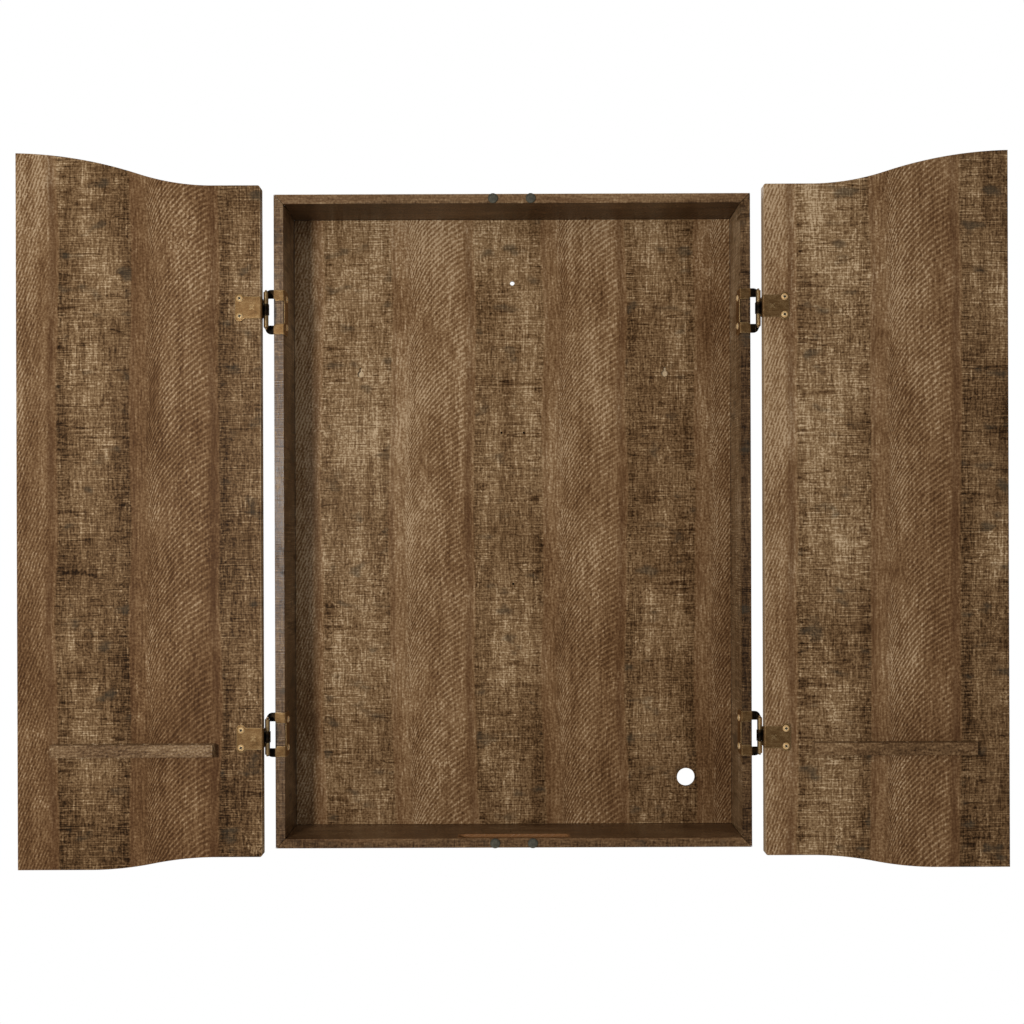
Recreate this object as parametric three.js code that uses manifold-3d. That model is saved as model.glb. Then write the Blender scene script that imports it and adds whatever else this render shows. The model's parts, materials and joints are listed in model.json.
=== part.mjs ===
// A wall-hung dartboard cabinet with two scalloped doors, modelled with both doors swung fully open.
//
// Millimetres. +X runs to the viewer's right, +Y towards the wall it hangs on, +Z up.
// Heights are measured from the cabinet's underside. The finished cabinet is then lowered, so that
// the origin is on the wall plane, behind the middle of the upper hanging rail.

import * as THREE from "three";
import { mergeVertices } from "three/addons/utils/BufferGeometryUtils.js";
import Module from "manifold-3d";

const wasm = await Module();
wasm.setup();

// ---------------------------------------------------------------- driving dimensions

const GAP = 0.3; // left between neighbouring pieces
const PAST = 1; // how far a cutting shape runs past the face it cuts
const ROUND = 16; // sides of a small round rod or hole
const SMOOTH = 32; // sides of a large one
const SCREW_SIDES = 12;
const ARC_STEPS = 8; // straight steps in each drawn arc
const BEND_STEPS = 4; // and in each bend of a hinge's sheet

const CABINET = { width: 606, height: 832, depth: 92, wall: 12 };
const HALF_WIDTH = CABINET.width / 2;
const FRONT = -CABINET.depth;
const INSIDE = HALF_WIDTH - CABINET.wall; // half of the inner width
const MITRE_RELIEF = 0.22; // each mitred end is this much short, which leaves GAP across the joint

const BACK_PANEL = { rear: -12, thickness: 4 }; // glued to the battens, between the four boards
const PANEL_FACE = BACK_PANEL.rear - BACK_PANEL.thickness;

const RAIL = { low: 581, high: 651 }; // upper hanging rail
const HANGING_HEIGHT = (RAIL.low + RAIL.high) / 2;
const LOWER_RAIL_TOP = 50;
const BLOCK = { halfWidth: 60, low: 300, high: RAIL.low - GAP }; // takes the dartboard's screws
const BATTEN_FRONT = BACK_PANEL.rear + GAP;

const KEYHOLE_X = 203.2; // half of 16 inches, the usual stud spacing
const FRONT_KEYHOLE = { entryRadius: 4.35, slotRadius: 1.8, low: 609.5, high: 622.6 };
const REAR_KEYHOLE = { entryRadius: 5, slotRadius: 2.3, low: 606, high: 626, lip: 3, depth: 8 };

const CABLE_HOLE = { x: 230, z: 74, radius: 12 };
const WALL_SCREW_HOLE = { x: 0, z: 735, radius: 3 };
const PILOT = { spread: 15, high: 535, low: 333, radius: 1.6, depth: 9 };
const PEN_GROOVE = { length: 142, width: 18, depth: 6, fromFront: 4 };

const BUMPER = { radius: 6.25, thickness: 2.5, shoulder: 1.3, crown: 5, offset: 24 };

const HINGE_HEIGHTS = { upper: 682, lower: 145 };
const PIN = { outboard: 6.5, forward: 16.5, radius: 1.5, bore: 1.65, halfLength: 24.5 };
const PIN_X = HALF_WIDTH + PIN.outboard;
const PIN_Y = FRONT - PIN.forward;

// Seen from the pin of an open door: x runs along the door, y is negative towards the viewer.
const DOOR = { edge: 4.3, width: 304.4, thickness: 15, innerFace: -13.5, hingeCorner: 3 };
const DOOR_LOW = -2.5; // height of the lower hinge-side corner
const DOOR_HIGH = CABINET.height - DOOR_LOW;
const CREST = { flat: 58, turn: 152, turnRise: 15, rise: 41 }; // the top edge, from the hinge side
const SKIRT = { start: 56, end: 215, drop: 15.5 }; // the bottom edge, from the hinge side

const RACK = { fromHinge: 58, length: 201, height: 15, depth: 14, z: 132 };
const DART_HOLE = { count: 6, pitch: 31.4, radius: 4.75 };
const DOWEL = { radius: 3, offset: 62.8, inDoor: 8, inRack: 9 };

const SHEET = 1.8; // thickness of the hinge leaves
const BEND_RADIUS = SHEET / 2 + 0.2; // of the sheet's middle line
const FRAME_WING = {
  halfHeight: 28.3,
  reach: 22, // depth on the wall's inner face
  armInner: 14.6, // the arms start this far from the middle
  legInner: 17, // and their forward legs this far
  legCentre: 2.3, // middle of the leg's sheet, seen from the pin
  rootStart: 2.7, // the knuckle's root starts this far behind the pin
  cornerRadius: 6,
  knuckleRadius: 3.2,
  knuckleInner: 7.3,
  knuckleOuter: 24,
};
const DOOR_WING = {
  length: 31.2, // on the door's inner face
  bodyHalf: 13.8,
  lobeStart: 18,
  lobeHalf: 17.2,
  flangeHalf: 12.25,
  tongueHalf: 7,
  flangeEnd: -4, // the wide part of the edge flange stops here, seen from the pin
  knuckleRadius: 4,
  cornerRadius: 4.5,
};
const SCREW = { headRadius: 4.2, headHeight: 2, rim: 0.6, crown: 3.6, shankRadius: 1.6, hole: 2.05 };
const RECESS = { depth: 1.3, halfLength: 2.3, halfWidth: 0.55 };
const SCREW_SHANK = { door: 12, wall: 11 };
const DOOR_SCREWS = { fromEdge: 25.2, spread: 11 };
const WALL_SCREWS = { fromFront: 10, spread: 18 };
const DIMPLE = { fromEdge: 10.2, radius: 1.3, depth: 1 };

const FINISH = {
  laminate: { color: 0x745a40, roughness: 0.5, metalness: 0 },
  board: { color: 0xb08f66, roughness: 0.85, metalness: 0 },
  antiqueBrass: { color: 0x8a6a3e, roughness: 0.35, metalness: 1 },
  screwBrass: { color: 0xb08a4c, roughness: 0.3, metalness: 1 },
  rubber: { color: 0x3b3a36, roughness: 0.9, metalness: 0 },
};

// ---------------------------------------------------------------- solids

function solid(geometry) {
  const bare = geometry.clone();
  bare.deleteAttribute("normal");
  bare.deleteAttribute("uv");
  const merged = mergeVertices(bare, 1e-4);
  return new wasm.Manifold(
    new wasm.Mesh({
      numProp: 3,
      vertProperties: merged.getAttribute("position").array,
      triVerts: new Uint32Array(merged.index.array),
    }),
  );
}

function geometryOf(body) {
  const { vertProperties, triVerts } = body.getMesh();
  const geometry = new THREE.BufferGeometry();
  geometry.setAttribute("position", new THREE.BufferAttribute(vertProperties, 3));
  geometry.setIndex(new THREE.BufferAttribute(triVerts, 1));
  geometry.computeVertexNormals();
  return geometry;
}

function join(...geometries) {
  return geometryOf(geometries.map(solid).reduce((all, one) => all.add(one)));
}

function cut(geometry, ...tools) {
  return geometryOf(tools.map(solid).reduce((left, tool) => left.subtract(tool), solid(geometry)));
}

function overlap(one, other) {
  return geometryOf(solid(one).intersect(solid(other)));
}

function bothWays(make) {
  return [-1, 1].map(make);
}

// ---------------------------------------------------------------- simple shapes

function block([x0, x1], [y0, y1], [z0, z1]) {
  const box = new THREE.BoxGeometry(x1 - x0, y1 - y0, z1 - z0);
  return box.translate((x0 + x1) / 2, (y0 + y1) / 2, (z0 + z1) / 2);
}

function rod(radius, start, end, sides = ROUND) {
  const from = new THREE.Vector3(...start);
  const along = new THREE.Vector3(...end).sub(from);
  const cylinder = new THREE.CylinderGeometry(radius, radius, along.length(), sides);
  cylinder.translate(0, along.length() / 2, 0);
  const turn = new THREE.Quaternion().setFromUnitVectors(THREE.Object3D.DEFAULT_UP, along.normalize());
  return cylinder.applyQuaternion(turn).translate(from.x, from.y, from.z);
}

// A shape drawn in X and Y, as a level plate between two heights.
function levelPlate(shape, z0, z1) {
  const settings = { depth: z1 - z0, bevelEnabled: false, curveSegments: ARC_STEPS };
  return new THREE.ExtrudeGeometry(shape, settings).translate(0, 0, z0);
}

// A shape drawn in X and Z, as an upright plate between two depths.
function uprightPlate(shape, y0, y1) {
  return levelPlate(shape, -y1, -y0).rotateX(Math.PI / 2);
}

// A shape drawn in Y and Z, as an upright plate between two places along X.
function sidePlate(shape, x0, x1) {
  const [alongX, alongY, alongZ] = [[1, 0, 0], [0, 1, 0], [0, 0, 1]].map((v) => new THREE.Vector3(...v));
  return levelPlate(shape, x0, x1).applyMatrix4(new THREE.Matrix4().makeBasis(alongY, alongZ, alongX));
}

function polygon(corners) {
  return new THREE.Shape(corners.map(([x, y]) => new THREE.Vector2(x, y)));
}

function roundedRectangle([x0, x1], halfHeight, radius) {
  const shape = new THREE.Shape();
  shape.absarc(x1 - radius, halfHeight - radius, radius, 0, Math.PI / 2);
  shape.absarc(x0 + radius, halfHeight - radius, radius, Math.PI / 2, Math.PI);
  shape.absarc(x0 + radius, radius - halfHeight, radius, Math.PI, Math.PI * 1.5);
  shape.absarc(x1 - radius, radius - halfHeight, radius, Math.PI * 1.5, Math.PI * 2);
  return shape;
}

// An outline with round ends between two centres that lie above each other or side by side.
function slot([x0, y0], [x1, y1], radius) {
  const heading = Math.atan2(y1 - y0, x1 - x0);
  const shape = new THREE.Shape();
  shape.absarc(x1, y1, radius, heading - Math.PI / 2, heading + Math.PI / 2);
  shape.absarc(x0, y0, radius, heading + Math.PI / 2, heading + Math.PI * 1.5);
  return shape;
}

// Adds the one circular arc that leaves the current point along a heading and ends at a point.
function arcTo(shape, heading, x, y) {
  const { x: x0, y: y0 } = shape.currentPoint;
  const chord = Math.atan2(y - y0, x - x0);
  const turn = Math.atan2(Math.sin(chord - heading), Math.cos(chord - heading)) * 2;
  const radius = Math.hypot(x - x0, y - y0) / (2 * Math.sin(Math.abs(turn) / 2));
  const outward = heading - (Math.sign(turn) * Math.PI) / 2;
  const centreX = x0 - radius * Math.cos(outward);
  const centreY = y0 - radius * Math.sin(outward);
  shape.absarc(centreX, centreY, radius, outward, outward + turn, turn < 0);
  return heading + turn;
}

// ---------------------------------------------------------------- carcass

function mitredBoard(corners) {
  return uprightPlate(polygon(corners), FRONT, 0);
}

function sidePanel() {
  const low = MITRE_RELIEF;
  const high = CABINET.height - MITRE_RELIEF;
  const board = mitredBoard([
    [HALF_WIDTH, low],
    [HALF_WIDTH, high],
    [INSIDE, high - CABINET.wall],
    [INSIDE, low + CABINET.wall],
  ]);
  return cut(board, ...Object.values(HINGE_HEIGHTS).flatMap(wallScrewHoles));
}

function wallScrewHoles(height) {
  const y = FRONT + WALL_SCREWS.fromFront;
  const end = INSIDE - SHEET + SCREW_SHANK.wall;
  return bothWays((way) => {
    const z = height + way * WALL_SCREWS.spread;
    return rod(SCREW.hole, [INSIDE - PAST, y, z], [end, y, z]);
  });
}

function levelBoard(outerHeight, innerHeight) {
  const outer = HALF_WIDTH - MITRE_RELIEF;
  const inner = INSIDE - MITRE_RELIEF;
  return mitredBoard([
    [-outer, outerHeight],
    [outer, outerHeight],
    [inner, innerHeight],
    [-inner, innerHeight],
  ]);
}

function bottomPanel() {
  const { length, width, depth, fromFront } = PEN_GROOVE;
  const end = (length - width) / 2;
  const y = FRONT + fromFront + width / 2;
  const groove = slot([-end, y], [end, y], width / 2);
  return cut(levelBoard(0, CABINET.wall), levelPlate(groove, CABINET.wall - depth, CABINET.wall + PAST));
}

function keyholeTools({ entryRadius, slotRadius, low, high }, x, y0, y1) {
  const entry = low + entryRadius;
  return [
    rod(entryRadius, [x, y0, entry], [x, y1, entry]),
    uprightPlate(slot([x, entry], [x, high - slotRadius], slotRadius), y0, y1),
  ];
}

function pilotTools(y0, y1) {
  const places = [
    [-PILOT.spread, PILOT.high],
    [PILOT.spread, PILOT.high],
    [0, PILOT.low],
  ];
  return places.map(([x, z]) => rod(PILOT.radius, [x, y0, z], [x, y1, z]));
}

function backPanel() {
  const halfWidth = INSIDE - GAP;
  const low = CABINET.wall + GAP;
  const through = [PANEL_FACE - PAST, BACK_PANEL.rear + PAST];
  const holes = [CABLE_HOLE, WALL_SCREW_HOLE].map(({ x, z, radius }) =>
    rod(radius, [x, through[0], z], [x, through[1], z], SMOOTH),
  );
  return cut(
    block([-halfWidth, halfWidth], [PANEL_FACE, BACK_PANEL.rear], [low, CABINET.height - low]),
    ...holes,
    ...keyholeTools(FRONT_KEYHOLE, -KEYHOLE_X, ...through),
    ...keyholeTools(FRONT_KEYHOLE, KEYHOLE_X, ...through),
    ...pilotTools(...through),
  );
}

function batten(halfWidth, low, high) {
  return block([-halfWidth, halfWidth], [BATTEN_FRONT, 0], [low, high]);
}

// The wall screw's head goes in at the bottom of the keyhole and is held behind the lip above.
function hangingRail() {
  const { entryRadius, low, high, lip, depth } = REAR_KEYHOLE;
  const pockets = [-KEYHOLE_X, KEYHOLE_X].flatMap((x) => [
    ...keyholeTools(REAR_KEYHOLE, x, -lip - PAST, PAST),
    uprightPlate(slot([x, low + entryRadius], [x, high - entryRadius], entryRadius), -depth, -lip),
  ]);
  return cut(batten(INSIDE - GAP, RAIL.low, RAIL.high), ...pockets);
}

function mountingBlock() {
  const pilots = pilotTools(BATTEN_FRONT - PAST, BATTEN_FRONT + PILOT.depth);
  return cut(batten(BLOCK.halfWidth, BLOCK.low, BLOCK.high), ...pilots);
}

// A domed disc whose flat side is at y = 0 and whose dome looks along -Y.
function bumper() {
  const { radius, thickness, shoulder, crown } = BUMPER;
  const profile = new THREE.Shape().moveTo(0, thickness);
  profile.quadraticCurveTo(crown, thickness, radius, shoulder);
  profile.lineTo(radius, 0).lineTo(0, 0);
  return turned(profile.getPoints(3), ROUND).rotateX(Math.PI);
}

// Turns a profile of radius and height, listed from the top of the axis round to its foot, about +Y.
function turned(points, sides) {
  return new THREE.LatheGeometry([...points].reverse(), sides);
}

// ---------------------------------------------------------------- doors

// The outline of an open right-hand door, with x measured from its pin.
function doorOutline() {
  const hinge = DOOR.edge;
  const free = hinge + DOOR.width;
  const corner = DOOR.hingeCorner;
  const middle = (SKIRT.start + SKIRT.end) / 2;
  const shape = new THREE.Shape();
  shape.moveTo(hinge, DOOR_LOW + corner);
  shape.lineTo(hinge, DOOR_HIGH - corner);
  arcTo(shape, Math.PI / 2, hinge + corner, DOOR_HIGH);
  shape.lineTo(hinge + CREST.flat, DOOR_HIGH);
  const slope = arcTo(shape, 0, hinge + CREST.turn, DOOR_HIGH + CREST.turnRise);
  arcTo(shape, slope, free, DOOR_HIGH + CREST.rise);
  shape.lineTo(free, DOOR_LOW - SKIRT.drop);
  shape.lineTo(hinge + SKIRT.end, DOOR_LOW - SKIRT.drop);
  const skirtSlope = arcTo(shape, Math.PI, hinge + middle, DOOR_LOW - SKIRT.drop / 2);
  arcTo(shape, skirtSlope, hinge + SKIRT.start, DOOR_LOW);
  shape.lineTo(hinge + corner, DOOR_LOW);
  arcTo(shape, Math.PI, hinge, DOOR_LOW + corner);
  return shape;
}

function door() {
  const face = DOOR.innerFace;
  const x = DOOR.edge + DOOR_SCREWS.fromEdge;
  const deep = face - SHEET + SCREW_SHANK.door;
  const screwHoles = Object.values(HINGE_HEIGHTS).flatMap((height) =>
    bothWays((way) => {
      const z = height + way * DOOR_SCREWS.spread;
      return rod(SCREW.hole, [x, face - PAST, z], [x, deep, z]);
    }),
  );
  return cut(uprightPlate(doorOutline(), face, face + DOOR.thickness), ...screwHoles, ...dowelHoles());
}

function rackMiddle() {
  return DOOR.edge + RACK.fromHinge + RACK.length / 2;
}

// A dowel across the joint between the rack and the door, or its bore when it is made larger.
function dowel(way, extra = 0) {
  const x = rackMiddle() + way * DOWEL.offset;
  const start = DOOR.innerFace - GAP - DOWEL.inRack - extra;
  const end = DOOR.innerFace + DOWEL.inDoor + extra;
  return rod(DOWEL.radius + extra, [x, start, RACK.z], [x, end, RACK.z]);
}

function dowelHoles() {
  return bothWays((way) => dowel(way, GAP));
}

function dartRack() {
  const middle = rackMiddle();
  const rear = DOOR.innerFace - GAP;
  const y = rear - RACK.depth / 2;
  const low = RACK.z - RACK.height / 2;
  const dartHoles = Array.from({ length: DART_HOLE.count }, (_, i) => {
    const x = middle + (i - (DART_HOLE.count - 1) / 2) * DART_HOLE.pitch;
    return rod(DART_HOLE.radius, [x, y, low - PAST], [x, y, low + RACK.height + PAST], SMOOTH);
  });
  const half = RACK.length / 2;
  const bar = block([middle - half, middle + half], [rear - RACK.depth, rear], [low, low + RACK.height]);
  return cut(bar, ...dartHoles, ...dowelHoles());
}

// ---------------------------------------------------------------- hinges
// Every hinge piece is drawn round its own pin: x outboard, y towards the wall, z up.

// A strip of sheet bent round corners, each [x, y, bend radius of its middle line].
function bentSheet(corners, halfHeight) {
  const line = corners.flatMap((corner, i) => bend(corners[i - 1], corner, corners[i + 1]));
  const side = (way) => line.map(({ point, heading }) => [
    point[0] - (way * Math.sin(heading) * SHEET) / 2,
    point[1] + (way * Math.cos(heading) * SHEET) / 2,
  ]);
  return levelPlate(polygon([...side(1), ...side(-1).reverse()]), -halfHeight, halfHeight);
}

// The middle line at one corner: points with their headings.
function bend(before, [x, y, radius], after) {
  const inward = before && Math.atan2(y - before[1], x - before[0]);
  const onward = after && Math.atan2(after[1] - y, after[0] - x);
  if (!before || !after) return [{ point: [x, y], heading: before ? inward : onward }];
  const turn = Math.atan2(Math.sin(onward - inward), Math.cos(onward - inward));
  const back = radius * Math.tan(Math.abs(turn) / 2);
  const start = [x - back * Math.cos(inward), y - back * Math.sin(inward)];
  const outward = inward - (Math.sign(turn) * Math.PI) / 2;
  const centre = [start[0] - radius * Math.cos(outward), start[1] - radius * Math.sin(outward)];
  return Array.from({ length: BEND_STEPS + 1 }, (_, i) => {
    const turned = (turn * i) / BEND_STEPS;
    const angle = outward + turned;
    const point = [centre[0] + radius * Math.cos(angle), centre[1] + radius * Math.sin(angle)];
    return { point, heading: inward + turned };
  });
}

function tube(radius, z0, z1) {
  return rod(radius, [0, 0, z0], [0, 0, z1]);
}

// Wraps the wall's front edge: a plate on the inner face, two arms across the edge and outboard of
// it, and two legs that run forward to the knuckles.
function frameWing() {
  const wing = FRAME_WING;
  const plateX = -PIN.outboard - CABINET.wall - GAP - SHEET / 2;
  const armY = PIN.forward - GAP - SHEET / 2;
  const sheet = bentSheet(
    [
      [plateX, PIN.forward + wing.reach],
      [plateX, armY, BEND_RADIUS],
      [wing.legCentre, armY, BEND_RADIUS],
      [wing.legCentre, 0],
    ],
    wing.halfHeight,
  );
  const knuckles = bothWays((way) =>
    tube(wing.knuckleRadius, way * wing.knuckleInner, way * wing.knuckleOuter),
  );
  const far = PIN.forward + PAST;
  const wallSide = -PIN.outboard;
  const openings = [
    block([plateX - SHEET, wallSide], [-far, far], [-wing.armInner, wing.armInner]),
    block([wallSide - PAST, wing.legCentre + SHEET], [wing.rootStart, far], [-wing.legInner, wing.legInner]),
    block([wallSide, PIN.outboard], [-far, far], [-wing.knuckleInner, wing.knuckleInner]),
    tube(PIN.bore, -PIN.halfLength - GAP, PIN.halfLength + GAP),
    ...wingScrewHoles(plateX),
  ];
  return overlap(cut(join(sheet, ...knuckles), ...openings), frameWingOutline(plateX));
}

// The wing's outline: round outboard corners seen from the front, and round corners seen from the side.
function frameWingOutline(plateX) {
  const { halfHeight, cornerRadius, knuckleRadius, reach } = FRAME_WING;
  const left = plateX - SHEET / 2;
  const depths = [-knuckleRadius, PIN.forward + reach];
  const front = roundedRectangle([left - 2 * cornerRadius, knuckleRadius], halfHeight, cornerRadius);
  const side = roundedRectangle(depths, halfHeight, cornerRadius);
  return overlap(
    uprightPlate(front, depths[0] - PAST, depths[1] + PAST),
    sidePlate(side, left - PAST, knuckleRadius + PAST),
  );
}

function wingScrewHoles(plateX) {
  const y = PIN.forward + WALL_SCREWS.fromFront;
  return bothWays((way) => {
    const z = way * WALL_SCREWS.spread;
    return rod(SCREW.hole, [plateX - SHEET, y, z], [plateX + SHEET, y, z]);
  });
}

// A plate on the door's inner face that turns round its edge and ends in the middle knuckle.
function doorWing() {
  const wing = DOOR_WING;
  const plateY = DOOR.innerFace - GAP - SHEET / 2;
  const flangeX = DOOR.edge - GAP - SHEET / 2;
  const end = DOOR.edge + wing.length;
  const far = end + PAST;
  const sheet = bentSheet(
    [
      [end, plateY],
      [flangeX, plateY, BEND_RADIUS],
      [flangeX, 0],
    ],
    wing.lobeHalf,
  );
  const trims = bothWays((way) => [
    block([-far, DOOR.edge], [plateY + SHEET, far], span(way, wing.flangeHalf, far)),
    block([-far, DOOR.edge + PAST], [wing.flangeEnd, far], span(way, wing.tongueHalf, far)),
  ]).flat();
  const holes = bothWays((way) => {
    const x = DOOR.edge + DOOR_SCREWS.fromEdge;
    const z = way * DOOR_SCREWS.spread;
    return rod(SCREW.hole, [x, plateY - SHEET, z], [x, plateY + SHEET, z]);
  });
  const dimpleX = DOOR.edge + DIMPLE.fromEdge;
  const face = plateY - SHEET / 2;
  const dimple = rod(DIMPLE.radius, [dimpleX, face - PAST, 0], [dimpleX, face + DIMPLE.depth, 0]);
  const knuckle = tube(wing.knuckleRadius, -wing.tongueHalf, wing.tongueHalf);
  const bore = tube(PIN.bore, -wing.lobeHalf, wing.lobeHalf);
  return cut(join(overlap(sheet, doorWingOutline()), knuckle), bore, ...trims, ...holes, dimple);
}

function span(way, near, far) {
  return way > 0 ? [near, far] : [-far, -near];
}

// The wing's outline from the front: a straight body that widens to two round lobes at the screws.
function doorWingOutline() {
  const { length, bodyHalf, lobeStart, lobeHalf, cornerRadius } = DOOR_WING;
  const left = -PIN.outboard;
  const neck = DOOR.edge + lobeStart;
  const end = DOOR.edge + length;
  const swell = lobeHalf - bodyHalf;
  const shape = new THREE.Shape();
  shape.moveTo(left, -bodyHalf);
  shape.lineTo(neck, -bodyHalf);
  shape.bezierCurveTo(neck + swell, -bodyHalf, neck + swell, -lobeHalf, neck + 2 * swell, -lobeHalf);
  shape.lineTo(end - cornerRadius, -lobeHalf);
  arcTo(shape, 0, end, -lobeHalf + cornerRadius);
  shape.lineTo(end, lobeHalf - cornerRadius);
  arcTo(shape, Math.PI / 2, end - cornerRadius, lobeHalf);
  shape.lineTo(neck + 2 * swell, lobeHalf);
  shape.bezierCurveTo(neck + swell, lobeHalf, neck + swell, bodyHalf, neck, bodyHalf);
  shape.lineTo(left, bodyHalf);
  return uprightPlate(shape, DOOR.innerFace - 2 * SHEET, PIN.forward);
}

function hingePin() {
  return tube(PIN.radius, -PIN.halfLength, PIN.halfLength);
}

// A pan-head cross-recess screw whose head bears on y = 0 and looks along -Y.
function screw(shank) {
  const { headRadius, headHeight, rim, crown, shankRadius } = SCREW;
  const profile = new THREE.Shape().moveTo(0, headHeight);
  profile.quadraticCurveTo(crown, headHeight, headRadius, rim);
  profile.lineTo(headRadius, 0).lineTo(shankRadius, 0);
  profile.lineTo(shankRadius, 2 * shankRadius - shank).lineTo(0, -shank);
  const arm = [-RECESS.halfLength, RECESS.halfLength];
  const blade = [-RECESS.halfWidth, RECESS.halfWidth];
  const deep = [headHeight - RECESS.depth, headHeight + PAST];
  const head = turned(profile.getPoints(2), SCREW_SIDES);
  return cut(head, block(arm, deep, blade), block(blade, deep, arm)).rotateX(Math.PI);
}

function doorScrew(way) {
  const y = DOOR.innerFace - SHEET - 2 * GAP;
  const x = DOOR.edge + DOOR_SCREWS.fromEdge;
  return screw(SCREW_SHANK.door).translate(x, y, way * DOOR_SCREWS.spread);
}

function wallScrew(way) {
  const x = -PIN.outboard - CABINET.wall - SHEET - 2 * GAP;
  const y = PIN.forward + WALL_SCREWS.fromFront;
  return screw(SCREW_SHANK.wall).rotateZ(-Math.PI / 2).translate(x, y, way * WALL_SCREWS.spread);
}

// ---------------------------------------------------------------- assembly

function piece(name, geometry, finish) {
  const mesh = new THREE.Mesh(geometry, new THREE.MeshStandardMaterial(FINISH[finish]));
  mesh.name = name;
  return mesh;
}

function carcass() {
  const group = new THREE.Group();
  group.add(
    piece("top_panel", levelBoard(CABINET.height, CABINET.height - CABINET.wall), "laminate"),
    piece("bottom_panel", bottomPanel(), "laminate"),
    piece("back_panel", backPanel(), "laminate"),
    piece("upper_hanging_rail", hangingRail(), "board"),
    piece("lower_rail", batten(INSIDE - GAP, CABINET.wall + GAP, LOWER_RAIL_TOP), "board"),
    piece("board_mounting_block", mountingBlock(), "board"),
  );
  return group;
}

function bumpers(side) {
  const heights = { top: CABINET.height - CABINET.wall / 2, bottom: CABINET.wall / 2 };
  return Object.entries(heights).map(([level, z]) => {
    const mesh = piece(`${level}_${side}_bumper`, bumper(), "rubber");
    mesh.position.set(BUMPER.offset, FRONT - GAP, z);
    return mesh;
  });
}

function hinge(side, level) {
  const group = new THREE.Group();
  const name = `${side}_${level}_hinge`;
  group.position.set(PIN_X, PIN_Y, HINGE_HEIGHTS[level]);
  group.add(
    piece(`${name}_frame_wing`, frameWing(), "antiqueBrass"),
    piece(`${name}_door_wing`, doorWing(), "antiqueBrass"),
    piece(`${name}_pin`, hingePin(), "antiqueBrass"),
    piece(`${name}_top_wall_screw`, wallScrew(1), "screwBrass"),
    piece(`${name}_bottom_wall_screw`, wallScrew(-1), "screwBrass"),
    piece(`${name}_top_door_screw`, doorScrew(1), "screwBrass"),
    piece(`${name}_bottom_door_screw`, doorScrew(-1), "screwBrass"),
  );
  return group;
}

function doorLeaf(side) {
  const group = new THREE.Group();
  group.position.set(PIN_X, PIN_Y, 0);
  group.add(
    piece(`${side}_door`, door(), "laminate"),
    piece(`${side}_dart_rack`, dartRack(), "laminate"),
    piece(`${side}_rack_inner_dowel`, dowel(-1), "board"),
    piece(`${side}_rack_outer_dowel`, dowel(1), "board"),
  );
  return group;
}

// Everything that comes in a left and a right version. The left side is the right side mirrored.
function sideOf(side) {
  const group = new THREE.Group();
  group.scale.x = side === "right" ? 1 : -1;
  group.add(
    piece(`${side}_side_panel`, sidePanel(), "laminate"),
    ...bumpers(side),
    hinge(side, "upper"),
    hinge(side, "lower"),
    doorLeaf(side),
  );
  return group;
}

const cabinet = new THREE.Group();
cabinet.add(carcass(), sideOf("left"), sideOf("right"));
cabinet.position.z = -HANGING_HEIGHT;

const group = new THREE.Group();
group.add(cabinet);

export default group;
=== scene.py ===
"""Looks for a wall-hung dartboard cabinet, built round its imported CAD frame.

Metres, in the frame's axes: +X to the viewer's right, +Y into the wall, +Z up. The hinges, screws and
bumpers are drawn in millimetres round their own origins, and are then scaled to metres.
"""

import json
import math

import bmesh
import bpy
from mathutils import Matrix, Vector


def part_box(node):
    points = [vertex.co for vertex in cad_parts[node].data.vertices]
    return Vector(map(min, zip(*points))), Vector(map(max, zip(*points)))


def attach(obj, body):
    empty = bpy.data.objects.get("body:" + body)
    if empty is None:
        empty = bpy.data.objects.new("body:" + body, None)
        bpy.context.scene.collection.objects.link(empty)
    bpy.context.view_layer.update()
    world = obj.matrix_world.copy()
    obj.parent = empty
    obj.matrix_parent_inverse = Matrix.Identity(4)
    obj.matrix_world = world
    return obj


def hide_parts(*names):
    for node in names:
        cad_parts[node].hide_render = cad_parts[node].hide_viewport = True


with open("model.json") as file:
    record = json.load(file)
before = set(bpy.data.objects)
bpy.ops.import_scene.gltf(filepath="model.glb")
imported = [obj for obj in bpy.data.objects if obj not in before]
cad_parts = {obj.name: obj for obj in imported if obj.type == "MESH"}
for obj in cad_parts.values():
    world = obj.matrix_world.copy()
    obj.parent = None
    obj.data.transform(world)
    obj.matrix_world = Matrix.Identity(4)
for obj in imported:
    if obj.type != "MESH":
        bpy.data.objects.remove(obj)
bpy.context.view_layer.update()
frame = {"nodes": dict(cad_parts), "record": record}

RECORD = frame["record"]
NODES = frame["nodes"]
BODY_OF = {node: body for body, nodes in RECORD["behaviour"]["bodies"].items() for node in nodes}

MM = 0.001
FULL_TURN = 2 * math.pi
QUARTER = math.pi / 2

SIDES = {"left": -1, "right": 1}
LEVELS = ("upper", "lower")


# ---------------------------------------------------------------- writing materials as formulas


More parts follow.
